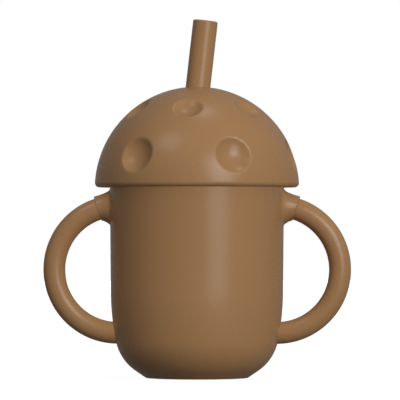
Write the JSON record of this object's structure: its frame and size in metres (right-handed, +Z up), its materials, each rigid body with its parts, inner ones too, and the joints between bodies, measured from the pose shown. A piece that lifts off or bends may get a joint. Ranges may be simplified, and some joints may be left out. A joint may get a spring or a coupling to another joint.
{
  "type": "straw cup",
  "caption": "Soft silicone straw cup with looped side handles, a domed and dimpled lid on a plug ring, and a leaning straw with a slit valve.",
  "frame": {"origin": "middle of the flat base, on the surface that the cup stands on", "axes": "+Z up along the cup's axis; the handles lie along -X and +X, the straw leans towards +X, and the front of the picture faces -Y"},
  "size_m": [0.1244, 0.0824, 0.1448],
  "materials": {
    "brown_silicone": "satin moulded silicone",
    "dark_silicone": "satin moulded silicone",
    "white_polypropylene": "fine matte moulded"
  },
  "bodies": {
    "cup_body": {"cup": "brown_silicone", "left_handle": "brown_silicone", "right_handle": "brown_silicone"},
    "lid_plug": {"lid_ring": "white_polypropylene", "lid_seal": "dark_silicone"},
    "lid_dome": {"lid_cap": "brown_silicone"},
    "straw_tube": {"straw": "brown_silicone", "straw_valve": "dark_silicone"}
  },
  "joints": [
    {"name": "lid_lift", "type": "slide", "parent": "cup_body", "child": "lid_plug", "axis": [0, 0, 1], "range_m": [0, 0.09]},
    {"name": "cap_turn", "type": "hinge", "parent": "lid_plug", "child": "lid_dome", "pos_m": [0, 0, 0.08], "axis": [0, 0, 1], "continuous": true},
    {"name": "straw_slide", "type": "slide", "parent": "lid_dome", "child": "straw_tube", "axis": [0.1132, 0, 0.9936], "range_m": [-0.002, 0.025]}
  ]
}
